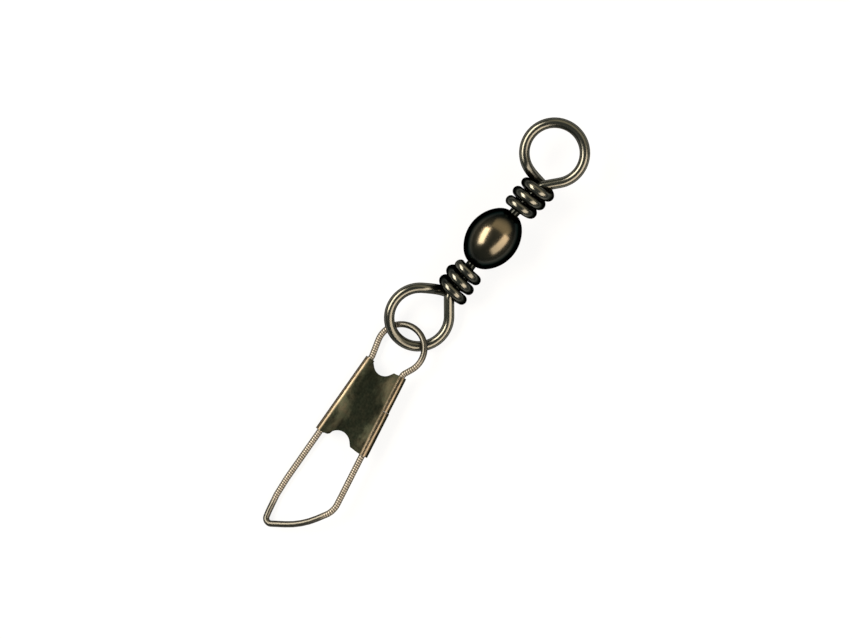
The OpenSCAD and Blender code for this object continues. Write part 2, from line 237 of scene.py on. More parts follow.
def snap_place():
    """Place of a piece drawn round the centre of the snap's loop, with its hook towards -X.

    The loop's plane meets the eye's between their centres, and the plate's closed edge lies on the table
    at the hook end. The link runs from where the eye's centre would be without the eye's roll.
    """
    snap = bpy.context.scene.swivel_snap
    eye = bpy.context.scene.swivel_eyes
    spin = JOINTS["lower_eye_spin"]
    ring = Vector(JOINTS["snap_swing"]["pos_m"])
    normal = Vector(JOINTS["snap_swing"]["axis"])
    reach = (Vector(spin["pos_m"]) - ring).dot(Vector(spin["axis"]))
    unrolled = swivel_place(half_turn=math.pi) @ Vector((reach, -eye.offset, 0))
    back = Vector((-math.cos(snap.yaw), -math.sin(snap.yaw), 0))
    chord = (snap.link**2 + eye.loop_radius**2 - snap.loop_radius**2) / (2 * snap.link)
    height = ring.z - chord * normal.dot(back) / normal.z
    drop = snap.closed_far * math.sin(snap.roll) + snap.bead - height
    pitch = math.asin(drop / (snap.link - chord + snap.plate_far))
    centre = unrolled + snap.link * back
    centre.z = height + (snap.link - chord) * math.sin(pitch)
    place = Matrix.Translation(centre) @ Matrix.Rotation(snap.yaw, 4, "Z")
    return place @ Matrix.Rotation(pitch, 4, "Y") @ Matrix.Rotation(-snap.roll, 4, "X")


# Forming


def on_circle(radius, turned):
    """Point of a circle round the origin in the XY plane."""
    return radius * Vector((math.cos(turned), math.sin(turned), 0))


def points_in(made):
    """The vertices among an operator's results."""
    return [item for item in made if isinstance(item, bmesh.types.BMVert)]


def rim_of(made):
    """The edges of the ring or line that an operator's results end in."""
    rim = set(points_in(made))
    return [
        item
        for item in made
        if isinstance(item, bmesh.types.BMEdge) and all(point in rim for point in item.verts)
    ]


class WireFormer:
    """Feeds and bends a round wire, and notes on each vertex its place while the wire was straight."""

    def __init__(self, radius, start, ahead, sides=28):
        self.mesh = bmesh.new()
        self.straight = self.mesh.verts.layers.float_vector.new("straight")
        self.here = Vector(start)
        self.ahead = Vector(ahead).normalized()
        self.fed = 0.0
        made = bmesh.ops.create_circle(self.mesh, cap_ends=True, radius=radius, segments=sides)
        for point in made["verts"]:
            point[self.straight] = point.co
        self.points = made["verts"]
        self.edges = list({edge for point in made["verts"] for edge in point.link_edges})
        side = UP.cross(self.ahead).normalized()
        place = Matrix((side, self.ahead.cross(side), self.ahead)).transposed().to_4x4()
        place.translation = self.here
        bmesh.ops.transform(self.mesh, matrix=place, verts=self.points)
        self.first_edges = self.edges

    def note(self, made, fed):
        """Goes on from the new ring, and notes how much wire has been fed."""
        self.points = points_in(made)
        self.edges = rim_of(made)
        self.fed += fed
        for point in self.points:
            old = point[self.straight]
            point[self.straight] = (old.x, old.y, self.fed)

    def move(self, matrix, fed):
        """Draws the wire on to where a matrix takes its end."""
        made = bmesh.ops.extrude_edge_only(self.mesh, edges=self.edges)["geom"]
        points = points_in(made)
        bmesh.ops.transform(self.mesh, matrix=matrix, verts=points)
        self.note(made, fed)
        self.here = matrix @ self.here
        self.ahead = (matrix.to_3x3() @ self.ahead).normalized()

    def feed(self, distance, step=1.2 * MM):
        """Feeds straight wire."""
        if distance <= NEAR:
            return
        count = max(1, math.ceil(distance / step))
        for _ in range(count):
            self.move(Matrix.Translation(self.ahead * distance / count), distance / count)

    def upset(self, distance, scale):
        """Feeds wire while its radius grows or shrinks, as at a cold-headed end."""
        about = Matrix.Translation(self.here) @ Matrix.Scale(scale, 4) @ Matrix.Translation(-self.here)
        self.move(Matrix.Translation(self.ahead * distance) @ about, distance)

    def turn(self, turned, radius, centre=None, axis=UP, rise=0.0, step=math.radians(7)):
        """Bends the wire through an angle about an axis, and lets a coil rise along the axis."""
        if centre is None:
            left = axis.cross(self.ahead).normalized()
            centre = self.here + left * math.copysign(radius, turned)
        count = max(1, math.ceil(abs(turned) / step))
        lift = axis * rise / count
        one = Matrix.Translation(centre) @ Matrix.Rotation(turned / count, 4, axis)
        one = Matrix.Translation(lift) @ one @ Matrix.Translation(-centre)
        fed = math.hypot(radius * turned / count, rise / count)
        for _ in range(count):
            made = bmesh.ops.spin(
                self.mesh, geom=self.edges + self.points, cent=centre, axis=axis, dvec=lift,
                angle=turned / count, steps=1, use_merge=False, use_duplicate=False,
            )["geom_last"]
            self.note(made, fed)
            self.here = one @ self.here
            self.ahead = (one.to_3x3() @ self.ahead).normalized()

    def through(self, corners, radii):
        """Runs flat through corners, each rounded to its own radius; the last is where the wire stops."""
        for number, corner in enumerate(corners):
            way = (corner - self.here).normalized()
            if number == len(corners) - 1:
                self.feed((corner - self.here).dot(self.ahead))
                return
            after = (corners[number + 1] - corner).normalized()
            turned = math.atan2(way.cross(after).dot(UP), way.dot(after))
            self.feed((corner - self.here).length - radii[number] * math.tan(abs(turned) / 2))
            self.turn(turned, radii[number])

    def glide(self, target, start_way, end_way, count=16):
        """Runs along a smooth curve to a target, leaving along start_way and arriving along end_way."""
        begin = self.here.copy()
        last = begin
        for number in range(1, count + 1):
            t = number / count
            place = begin * (1 + 2 * t) * (1 - t) ** 2 + start_way * t * (1 - t) ** 2
            place = place + target * (3 - 2 * t) * t * t - end_way * t * t * (1 - t)
            slope = begin * (6 * t * t - 6 * t) + start_way * (1 - 4 * t + 3 * t * t)
            slope = slope + target * (6 * t - 6 * t * t) + end_way * (3 * t * t - 2 * t)
            swing = self.ahead.rotation_difference(slope.normalized()).to_matrix().to_4x4()
            matrix = Matrix.Translation(place) @ swing @ Matrix.Translation(-self.here)
            self.move(matrix, (place - last).length)
            last = place

    def cut(self, burr=0.06 * MM):
        """Closes the wire's end and breaks its edges."""
        bmesh.ops.contextual_create(self.mesh, geom=self.edges)
        bmesh.ops.bevel(
            self.mesh, geom=self.first_edges + self.edges, offset=burr, offset_type="OFFSET", segments=2,
            profile=0.5, affect="EDGES", clamp_overlap=True, material=-1,
        )


def finish_piece(name, mesh, place, node, body, material, closed=True, smooth_angle=40):
    """Makes a bmesh an object at the origin with its place in its mesh, and gives it to the frame."""
    bmesh.ops.remove_doubles(mesh, verts=mesh.verts, dist=NEAR)
    bmesh.ops.transform(mesh, matrix=place, verts=mesh.verts)
    bmesh.ops.recalc_face_normals(mesh, faces=mesh.faces)
    if not mesh.faces or (closed and not all(edge.is_manifold for edge in mesh.edges)):
        raise RuntimeError(f"{name} did not close")
    for face in mesh.faces:
        face.smooth = True
    data = bpy.data.meshes.new(name)
    mesh.to_mesh(data)
    mesh.free()
    data.set_sharp_from_angle(angle=math.radians(smooth_angle))
    piece = bpy.data.objects.new(name, data)
    bpy.context.scene.collection.objects.link(piece)
    data.materials.append(material)
    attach(piece, body)
    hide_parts(node)
    return piece


def sweep_vertex(mesh, vertex, centre, turned, step=math.radians(3)):
    """Draws an arc from a vertex round a centre in the XY plane, and returns the arc's last vertex."""
    made = bmesh.ops.spin(
        mesh, geom=[vertex], cent=centre, axis=UP, angle=turned,
        steps=max(1, math.ceil(abs(turned) / step)), use_merge=False, use_duplicate=False,
    )
    return points_in(made["geom_last"])[0]


def draw_to(mesh, vertex, place):
    """Draws a straight line from a vertex, and returns its new end."""
    made = bmesh.ops.extrude_vert_indiv(mesh, verts=[vertex])
    end = made["verts"][0]
    end.co = place
    return end


# Finishes


class Field:
    """A node's output that takes part in plain arithmetic."""

    def __init__(self, finish, socket):
        self.finish = finish
        self.socket = socket

    def math(self, operation, *values):
        """Adds a Math node on values in their order."""
        return self.finish.node("ShaderNodeMath", {"operation": operation}, dict(enumerate(values)))

    def __add__(self, other):
        return self.math("ADD", self, other)

    def __radd__(self, other):
        return self.math("ADD", other, self)

    def __sub__(self, other):
        return self.math("SUBTRACT", self, other)

    def __rsub__(self, other):
        return self.math("SUBTRACT", other, self)

    def __mul__(self, other):
        return self.math("MULTIPLY", self, other)

    def __rmul__(self, other):
        return self.math("MULTIPLY", other, self)

    def __truediv__(self, other):
        return self.math("DIVIDE", self, other)

    def __rtruediv__(self, other):
        return self.math("DIVIDE", other, self)

    def __pow__(self, other):
        return self.math("POWER", self, other)

    def __rpow__(self, other):
        return self.math("POWER", other, self)

    def sine(self):
        return self.math("SINE", self)

    def cosine(self):
        return self.math("COSINE", self)

    def size(self):
        return self.math("ABSOLUTE", self)

    def most(self, other):
        return self.math("MAXIMUM", self, other)

    def step(self, low, high):
        """Smooth step from 0 at low to 1 at high."""
        return self.finish.node(
            "ShaderNodeMapRange",
            {"interpolation_type": "SMOOTHSTEP"},
            {"Value": self, "From Min": low, "From Max": high, "To Min": 0.0, "To Max": 1.0},
        )


class Finish:
    """The nodes of a material or of the surroundings, written as expressions."""

    def __init__(self, owner):
        self.owner = owner
        self.owner.use_nodes = True
        self.tree = self.owner.node_tree
        self.tree.nodes.clear()

    def node(self, kind, settings=None, inputs=None, output=0):
        """Adds a node: its settings first, then the values or links of its sockets."""
        node = self.tree.nodes.new(kind)
        for name, value in (settings or {}).items():
            setattr(node, name, value)
        for name, value in (inputs or {}).items():
            socket = node.inputs[name]
            if isinstance(value, Field):
                self.tree.links.new(value.socket, socket)
            elif hasattr(socket.default_value, "__len__") and len(socket.default_value) == 4:
                socket.default_value = (*tuple(value)[:3], 1)
            else:
                socket.default_value = value
        return Field(self, node.outputs[output]) if node.outputs else None

    def place(self):
        """Object coordinates."""
        return self.node("ShaderNodeTexCoord", output="Object")

    def straight(self):
        """Coordinates on the wire while it was straight."""
        return self.node("ShaderNodeAttribute", {"attribute_name": "straight"}, output="Vector")

    def laid(self, vector, matrix):
        """A vector moved and turned."""
        return self.node(
            "ShaderNodeMapping", {"vector_type": "POINT"},
            {"Vector": vector, "Location": matrix.translation, "Rotation": matrix.to_euler()},
        )

    def part(self, vector, axis):
        """One component of a vector."""
        return self.node("ShaderNodeSeparateXYZ", {}, {"Vector": vector}, output=axis)

    def noise(self, vector, scale, detail=3.0, roughness=0.55, distortion=0.0, finer=None):
        """Noise from 0 to 1, in features per metre, times finer along each axis."""
        if finer is not None:
            vector = self.node("ShaderNodeVectorMath", {"operation": "MULTIPLY"}, {0: vector, 1: finer})
        return self.node(
            "ShaderNodeTexNoise", {},
            {"Vector": vector, "Scale": scale, "Detail": detail, "Roughness": roughness,
             "Distortion": distortion},
        )

    def blend(self, first, second, mask):
        """First colour where the mask is 0, second where it is 1."""
        return self.node(
            "ShaderNodeMix", {"data_type": "RGBA"}, {0: mask, 6: first, 7: second}, output=2
        )

    def bump(self, height, depth, strength=1.0):
        """A normal from a height in units of depth metres."""
        return self.node(
            "ShaderNodeBump", {}, {"Height": height, "Distance": depth, "Strength": strength}
        )

    def metal(self, shade, roughness, normal, rim):
        """Metal; rim is how much it reflects at a grazing angle."""
        shader = self.node(
            "ShaderNodeBsdfPrincipled", {},
            {"Base Color": shade, "Metallic": 1.0, "Roughness": roughness, "Normal": normal,
             "Specular Tint": rim},
        )
        self.node("ShaderNodeOutputMaterial", {}, {"Surface": shader})
        return self.owner


def black_nickel(sizes):
    """Bright black nickel over brass: warm patches, a painted highlight on top, painted shade low on the
    flanks, polish lines round the barrel, and worn mouths.
    """
    finish = Finish(bpy.data.materials.new("black_nickel"))
    local = finish.laid(finish.place(), swivel_place().inverted())
    along = finish.part(local, 0)
    across = finish.part(local, 1)
    above = finish.part(local, 2)
    patches = finish.noise(local, 420, detail=4).step(0.42, 0.68)
    rings = finish.noise(local, 900, detail=5, finer=(14, 1, 1))
    pits = finish.noise(local, 5200, detail=2)
    smears = finish.noise(local, 700, finer=(1, 3, 3))

    # Painted highlight in bronze on top of the belly, stronger towards the line eye; painted shade low on
    # the flanks; worn to brass at the mouths
    painted_highlight = above.step(1.5 * MM, 2.7 * MM)
    highlight_along = (along + across * 0.3).step(-2.2 * MM, 2.6 * MM) * 0.5 + 0.35
    painted_flank_shade = 1 - above.step(1.7 * MM, 2.6 * MM)
    end = sizes.length / 2
    lip = sizes.mouth_radius + sizes.lip
    radius = (across * across + above * above) ** 0.5
    mouth = along.size().step(end - 0.3 * MM, end - 0.03 * MM)
    mouth = mouth * (1 - radius.step(lip + 0.025 * MM, lip + 0.225 * MM))
    worn = mouth * finish.noise(local, 2600).step(0.4, 0.6)
    # Patches of tint, a painted highlight in tint on top of the belly, and painted shade low on the
    # flanks
    shade = finish.blend(sizes.plating, sizes.tint, patches * 0.1 + painted_highlight * highlight_along)
    shade = finish.blend(shade, sizes.painted_flank_shade, painted_flank_shade * 0.8)
    shade = finish.blend(shade, sizes.brass, worn * 0.7)
    roughness = 0.13 + smears * 0.1 + rings * 0.05 + worn * 0.2
    height = rings * 0.5 + pits * 0.5
    return finish.metal(shade, roughness, finish.bump(height, 0.004 * MM, 0.5), (0.04, 0.04, 0.04))


def bronze_wire(sizes, barrel):
    """Plated wire: die lines, darker streaks and small nicks along it, and painted shade, near black,
    round the wraps.
    """
    finish = Finish(bpy.data.materials.new("bronze_wire"))
    straight = finish.straight()
    lines = finish.noise(straight, 4200, detail=4, finer=(1, 1, 0.03))
    streaks = finish.noise(straight, 1100, finer=(1, 1, 0.12))
    nicks = finish.noise(straight, 2600, detail=2, finer=(1, 1, 0.5)).step(0.7, 0.8)

    # Painted shade, near black, between the wraps and on their flanks, as far as the wraps reach from the
    # barrel
    local = finish.laid(finish.place(), swivel_place().inverted())
    beyond = finish.part(local, 0).size() - barrel.length / 2
    across = finish.part(local, 1) + beyond * math.tan((sizes.line_lean + sizes.snap_lean) / 2)
    above = finish.part(local, 2)
    radius = (across * across + above * above) ** 0.5
    crest = sizes.wrap_radius + sizes.wire / 2
    reach = sizes.wrap_turns * sizes.wrap_pitch + sizes.wire
    between = 1 - radius.step(crest - 0.7 * MM, crest - 0.1 * MM)
    painted_flank_shade = 1 - above.step(1.2 * MM, 1.8 * MM)
    hollow = between.most(painted_flank_shade) * (1 - beyond.step(reach - 0.74 * MM, reach - 0.04 * MM))
    shade = finish.blend(sizes.finish, sizes.dark, streaks.step(0.44, 0.7) * 0.7)
    shade = finish.blend(shade, sizes.nick, nicks * 0.4)
    shade = finish.blend(shade, sizes.hollow, hollow * 0.96)
    roughness = 0.17 + lines * 0.1 + nicks * 0.15
    height = lines + nicks * -0.6
    return finish.metal(shade, roughness, finish.bump(height, 0.003 * MM, 0.6), (0.04, 0.04, 0.04))


def spring_wire(sizes, smooth):
    """Dull spring wire with fine slanted ribs and painted shade in their hollows, plain and darker over
    the stretches in smooth.
    """
    finish = Finish(bpy.data.materials.new("spring_wire"))
    straight = finish.straight()
    fed = finish.part(straight, 2)
    radius = sizes.wire / 2
    ahead = fed * (math.tau / sizes.rib)
    sideways = finish.part(straight, 0) / radius
    upward = finish.part(straight, 1) / radius
    ribs = ((ahead.sine() * sideways + ahead.cosine() * upward) * 1.3).step(-0.75, 0.75)
    wandering = fed + finish.noise(straight, 900, detail=2, finer=(1, 1, 0.3)) * (2 * MM)
    fade = 1.4 * MM
    plain = 0
    for begin, end in smooth:
        plain = plain + wandering.step(begin, begin + fade) * (1 - wandering.step(end, end + fade))
    hollow = (1 - ribs) * (1 - plain)
    grain = finish.noise(straight, 4200, finer=(1, 1, 0.2))
    shade = finish.blend(sizes.finish, sizes.worn, plain)
    # Painted shade in the hollows between the ribs, and darker grain
    shade = finish.blend(shade, sizes.dark, hollow * 0.9 + grain.step(0.5, 0.8) * 0.25)
    roughness = 0.4 + hollow * 0.12 - plain * 0.12 + grain * 0.08
    height = grain * 0.35 - hollow
    return finish.metal(shade, roughness, finish.bump(height, 0.02 * MM, 0.7), (0.1, 0.1, 0.1))


def mottled_plate(sizes, snap):
    """Dark plated sheet: near-black and bronze mottling, and a painted highlight along the tops of the
    rolled edges.
    """
    finish = Finish(bpy.data.materials.new("mottled_plate"))
    local = finish.laid(finish.place(), snap_place().inverted())
    along = finish.part(local, 0)
    across = finish.part(local, 1)
    above = finish.part(local, 2)
    clouds = finish.noise(local, 420, detail=5, roughness=0.62, distortion=0.5, finer=(0.7, 1, 1))
    blots = finish.noise(local, 1100, detail=5, roughness=0.7)
    specks = finish.noise(local, 3600)
    brushed = finish.noise(local, 5200, finer=(0.08, 1, 1))
    middle = 1 - ((across - 0.15 * MM) / (2.1 * MM)).size().step(0.1, 1.0)
    towards_hook = 1 - along.step(-12 * MM, -3 * MM)
    dark = (clouds * 0.75 + blots * 0.25 + middle * (0.1 + towards_hook * 0.12)).step(0.42, 0.64)
    bronze = (blots * 0.8 + specks * 0.2).step(0.44, 0.6)
    shade = finish.blend(sizes.finish, sizes.bronze, bronze * 0.8)
    shade = finish.blend(shade, sizes.dark, dark * (0.6 + specks * 0.5))

    # The bends follow the two legs, which spread towards the hook
    reach = snap.plate_far - snap.plate_near
    closed_spread = (snap.closed_far - snap.closed_near) / reach
    open_spread = (snap.open_far - snap.open_near) / reach
    beside = along + snap.plate_near
    closed = across + beside * closed_spread - snap.closed_near
    opened = beside * open_spread - across - (snap.open_near - 0.06 * MM)
    bend = closed.most(opened).step(-0.2 * MM, 0.1 * MM) * above.step(0.25 * MM, 0.5 * MM)
    # Painted highlight along the tops of the rolled edges
    shade = finish.blend(shade, sizes.painted_highlight, bend * (0.45 + specks * 0.5))
    roughness = 0.34 + specks * 0.16 + dark * 0.1 - bend * 0.16
    height = brushed * 0.5 + specks * 0.35 + blots * 0.6
    return finish.metal(shade, roughness, finish.bump(height, 0.012 * MM, 0.6), (0.05, 0.05, 0.05))


def white_table(stage):
    """White table that stays white to the camera and in reflections, and keeps a soft shadow."""
    finish = Finish(bpy.data.materials.new("white_table"))
    fibres = finish.noise(finish.place(), 900) * 0.2
    paper = finish.node(
        "ShaderNodeBsdfDiffuse", {}, {"Color": finish.blend(stage.table, stage.fibre, fibres)}
    )
    glow = finish.node("ShaderNodeEmission", {}, {"Color": (1, 1, 1), "Strength": 1.0})
    seen = finish.node("ShaderNodeLightPath", output="Is Camera Ray")
    glossy = finish.node("ShaderNodeLightPath", output="Is Glossy Ray")
    through = finish.node("ShaderNodeLightPath", output="Is Transmission Ray")
    mask = seen.most(glossy).most(through) * stage.table_glow
    mixed = finish.node("ShaderNodeMixShader", {}, {0: mask, 1: paper, 2: glow})
    finish.node("ShaderNodeOutputMaterial", {}, {"Surface": mixed})
    return finish.owner


def plain_room(stage):
    """Plain surroundings, which the camera sees as white."""
    finish = Finish(bpy.data.worlds.new("plain_room"))
    room = finish.node("ShaderNodeBackground", {}, {"Color": stage.room_tint, "Strength": stage.room})
    white = finish.node("ShaderNodeBackground", {}, {"Color": (1, 1, 1), "Strength": 1.0})
    seen = finish.node("ShaderNodeLightPath", output="Is Camera Ray")
    mixed = finish.node("ShaderNodeMixShader", {}, {0: seen, 1: room, 2: white})
    finish.node("ShaderNodeOutputWorld", {}, {"Surface": mixed})
    return finish.owner


# Pieces


def rounded_end(barrel):
    """Distance from the barrel's middle to the centre of a rounded end."""
    return barrel.length / 2 - math.sqrt(barrel.end_radius**2 - (barrel.mouth_radius + barrel.lip) ** 2)


class SWIVEL_OT_barrel(bpy.types.Operator):
    """Turns the swaged barrel: belly, rounded ends, lips and the hollow that the shanks turn in"""

    bl_idname = "swivel.barrel"
    bl_label = "Barrel"

    def execute(self, context):
        sizes = context.scene.swivel_barrel
        end_radius = sizes.end_radius
        lip_radius = sizes.mouth_radius + sizes.lip
        end_x = rounded_end(sizes)
        widest = sizes.diameter / 2 - SLIM
        belly = (end_x**2 + widest**2 - end_radius**2) / (2 * widest - 2 * end_radius)
        belly_centre = Vector((0, widest - belly, 0))
        seam = math.acos(end_x / (belly - end_radius))
        lip = math.atan2(lip_radius, sizes.length / 2 - end_x)
        inner = end_radius - sizes.wall
        inner_mouth = math.asin(sizes.mouth_radius / inner)
        mesh = bmesh.new()

        # Outside, from the +X lip over the belly to the -X lip
        start = mesh.verts.new((sizes.length / 2, lip_radius, 0))
        last = sweep_vertex(mesh, start, Vector((end_x, 0, 0)), seam - lip)
        last = sweep_vertex(mesh, last, belly_centre, math.pi - 2 * seam)
        last = sweep_vertex(mesh, last, Vector((-end_x, 0, 0)), seam - lip)

        # Through the mouth and back along the inside
        last = draw_to(mesh, last, Vector((-sizes.length / 2, sizes.mouth_radius, 0)))
        hollow_x = end_x + inner * math.cos(inner_mouth)
        last = draw_to(mesh, last, Vector((-hollow_x, sizes.mouth_radius, 0)))
        last = sweep_vertex(mesh, last, Vector((-end_x, 0, 0)), inner_mouth - seam)
        last = sweep_vertex(mesh, last, belly_centre, 2 * seam - math.pi)
        last = sweep_vertex(mesh, last, Vector((end_x, 0, 0)), inner_mouth - seam)
        last = draw_to(mesh, last, Vector((sizes.length / 2, sizes.mouth_radius, 0)))
        mesh.edges.new((last, start))
        bmesh.ops.spin(
            mesh, geom=mesh.verts[:] + mesh.edges[:], cent=(0, 0, 0), axis=(1, 0, 0), angle=math.tau,
            steps=128, use_merge=True, use_duplicate=False,
        )
        bmesh.ops.remove_doubles(mesh, verts=mesh.verts, dist=NEAR)
        lips = [
            edge
            for edge in mesh.edges
            if all(abs(abs(point.co.x) - sizes.length / 2) < NEAR for point in edge.verts)
            and abs(math.hypot(*edge.verts[0].co.yz) - math.hypot(*edge.verts[1].co.yz)) < NEAR
        ]
        bmesh.ops.bevel(
            mesh, geom=lips, offset=BROKEN, offset_type="OFFSET", segments=2, profile=0.5,
            affect="EDGES", clamp_overlap=True, material=-1,
        )
        finish_piece(
            "barrel_sleeve", mesh, swivel_place(), "barrel", "barrel",
            black_nickel(sizes), smooth_angle=50,
        )
        return {"FINISHED"}


def wrapped_eye(sizes, barrel, bare, lean, first_turn):
    """Forms one eye, drawn with its loop towards +X: head, shank, loop, and wraps back to the barrel."""
    head = sizes.head_radius
    inside = math.sqrt((barrel.end_radius - barrel.wall) ** 2 - head**2)
    crown_x = rounded_end(barrel) + inside - sizes.head_play - sizes.head_rim - sizes.head_dome
    former = WireFormer(sizes.head_crown, (crown_x, 0, 0), (1, 0, 0))
    former.upset(sizes.head_dome, head / sizes.head_crown)
    former.feed(sizes.head_rim)
    former.upset(sizes.head_taper, (sizes.wire / 2 - SLIM) / head)

    # Shank, its lean, the neck and the loop
    way = on_circle(1, lean)
    first = sizes.wrap_start
    last_turn = first / math.tau + sizes.wrap_turns
    wraps = sizes.wire / 2 + sizes.wrap_pitch * last_turn
    foot = Vector((barrel.length / 2 + sizes.foot_out + sizes.foot_bend * math.tan(lean / 2), 0, 0))
    neck = foot + way * (barrel.length / 2 + bare + wraps + first_turn - foot.x)
    off_neck = sizes.loop_radius - math.cos(sizes.neck_angle) * (sizes.offset + neck.y)
    centre = Vector((neck.x + off_neck / math.sin(sizes.neck_angle), -sizes.offset, 0))
    begin = math.pi / 2 + sizes.neck_angle
    end = -math.pi / 2 - sizes.return_angle
    touch = centre + on_circle(sizes.loop_radius, begin)
    former.through([foot, neck, touch], [sizes.foot_bend, sizes.neck_bend])
    former.turn(end - begin, sizes.loop_radius, centre=centre, step=math.radians(5))

    # The strand passes under the shank and comes round to the first turn
    left = Vector((-way.y, way.x, 0))
    pitch = sizes.wrap_pitch / math.tau
    wrap = sizes.wrap_radius
    axis_point = neck - way * (first_turn + pitch * first)
    arrive = axis_point + wrap * (left * math.cos(first) + UP * math.sin(first))
    arrive_way = (wrap * (UP * math.cos(first) - left * math.sin(first)) - way * pitch).normalized()
    span = (arrive - former.here).length
    former.glide(arrive, former.ahead * span, arrive_way * span)
    turned = math.tau * sizes.wrap_turns
    former.turn(turned, wrap, centre=axis_point, axis=way, rise=-pitch * turned, step=math.radians(9))
    former.cut()
    return former.mesh


class SWIVEL_OT_line_eye(bpy.types.Operator):
    """Forms the line eye: a headed wire with a loop and wraps round its own shank"""

    bl_idname = "swivel.line_eye"
    bl_label = "Line eye"

    def execute(self, context):
        sizes = context.scene.swivel_eyes
        barrel = context.scene.swivel_barrel
        mesh = wrapped_eye(sizes, barrel, sizes.line_bare, sizes.line_lean, sizes.line_turn)
        finish_piece(
            "line_eye", mesh, swivel_place(mirrored=True), "upper_eye", "upper_eye",
            bpy.data.materials.get("bronze_wire") or bronze_wire(sizes, barrel),
        )
        return {"FINISHED"}


class SWIVEL_OT_snap_eye(bpy.types.Operator):
    """Forms the eye that the snap hangs in, wound the other way"""

    bl_idname = "swivel.snap_eye"
    bl_label = "Snap eye"

    def execute(self, context):
        sizes = context.scene.swivel_eyes
        barrel = context.scene.swivel_barrel
        mesh = wrapped_eye(sizes, barrel, sizes.snap_bare, sizes.snap_lean, sizes.snap_turn)
        finish_piece(
            "snap_eye", mesh, swivel_place(sizes.snap_roll, math.pi), "lower_eye", "lower_eye",
            bpy.data.materials.get("bronze_wire") or bronze_wire(sizes, barrel),
        )
        return {"FINISHED"}


def leg_point(sizes, x, closed):
    """Point of a leg at a place along the snap."""
    share = (-sizes.plate_near - x) / (sizes.plate_far - sizes.plate_near)
    if closed:
        return Vector((x, sizes.closed_near + share * (sizes.closed_far - sizes.closed_near), 0))
    return Vector((x, -sizes.open_near - share * (sizes.open_far - sizes.open_near), 0))


class SWIVEL_OT_snap_wire(bpy.types.Operator):
    """Bends the spring wire: crimped end, small loop, closed leg, pointed hook and free leg"""

    bl_idname = "swivel.snap_wire"
    bl_label = "Snap wire"

    def execute(self, context):
        sizes = context.scene.swivel_snap
        foot_x = -sizes.plate_near + sizes.foot
        fixed = leg_point(sizes, -sizes.split + sizes.end_gap, False)
        open_foot = leg_point(sizes, foot_x, False)
        closed_foot = leg_point(sizes, foot_x, True)
        loop = sizes.loop_radius

        def touching(foot, side):
            """Angle on the small loop at which the straight wire of a leg's foot touches it."""
            return math.atan2(-foot.y, -foot.x) + side * (math.asin(loop / foot.length) + math.pi / 2)

        loop_in = touching(open_foot, -1)
        loop_out = touching(closed_foot, 1)
        former = WireFormer(sizes.wire / 2 - SLIM, fixed, open_foot - fixed, sides=24)
        former.through([open_foot, on_circle(loop, loop_in)], [sizes.foot_bend])
        loop_begin = former.fed
        former.turn((loop_out - loop_in) % math.tau, loop, centre=Vector((0, 0, 0)), step=math.radians(5))
        loop_end = former.fed
        tip_x = -sizes.plate_far - sizes.hook
        bow = Vector((tip_x + sizes.bow_back, sizes.closed_far + sizes.bow, 0))
        point = Vector((tip_x, sizes.closed_far + sizes.point_in, 0))
        slant = Vector((tip_x + sizes.slant_back, point.y - sizes.slant_drop, 0))
        corner = leg_point(sizes, tip_x + sizes.corner_back, False)
        free = leg_point(sizes, -sizes.split - sizes.end_gap, False)
        former.through(
            [closed_foot, bow, point, slant, corner, free],
            [sizes.foot_bend, sizes.bow_bend, sizes.point_bend, sizes.slant_bend, sizes.corner_bend],
        )
        former.cut(BROKEN)

        # No rib shows on most of the small loop, nor from the hook's tip to its corner
        tip_at = loop_end + (closed_foot - on_circle(loop, loop_out)).length
        tip_at += (bow - closed_foot).length + (point - bow).length
        corner_at = tip_at + (slant - point).length + (corner - slant).length
        smooth = [(loop_begin + 1.5 * MM, loop_end - 3 * MM), (tip_at - 2.6 * MM, corner_at - 1.6 * MM)]
        finish_piece(
            "snap_spring", former.mesh, snap_place(), "snap_wire", "snap",
            spring_wire(sizes, smooth),
        )
        return {"FINISHED"}


def roll_edge(mesh, edges, start, end, drop, turned):
    """Rolls sheet edges down round the leg that runs from start to end."""
    axis = (end - start).normalized()
    centre = start + UP * drop
    points = list({point for edge in edges for point in edge.verts})
    bmesh.ops.spin(
        mesh, geom=edges + points, cent=centre, axis=axis, angle=turned, steps=20, use_merge=False,
        use_duplicate=False,
    )


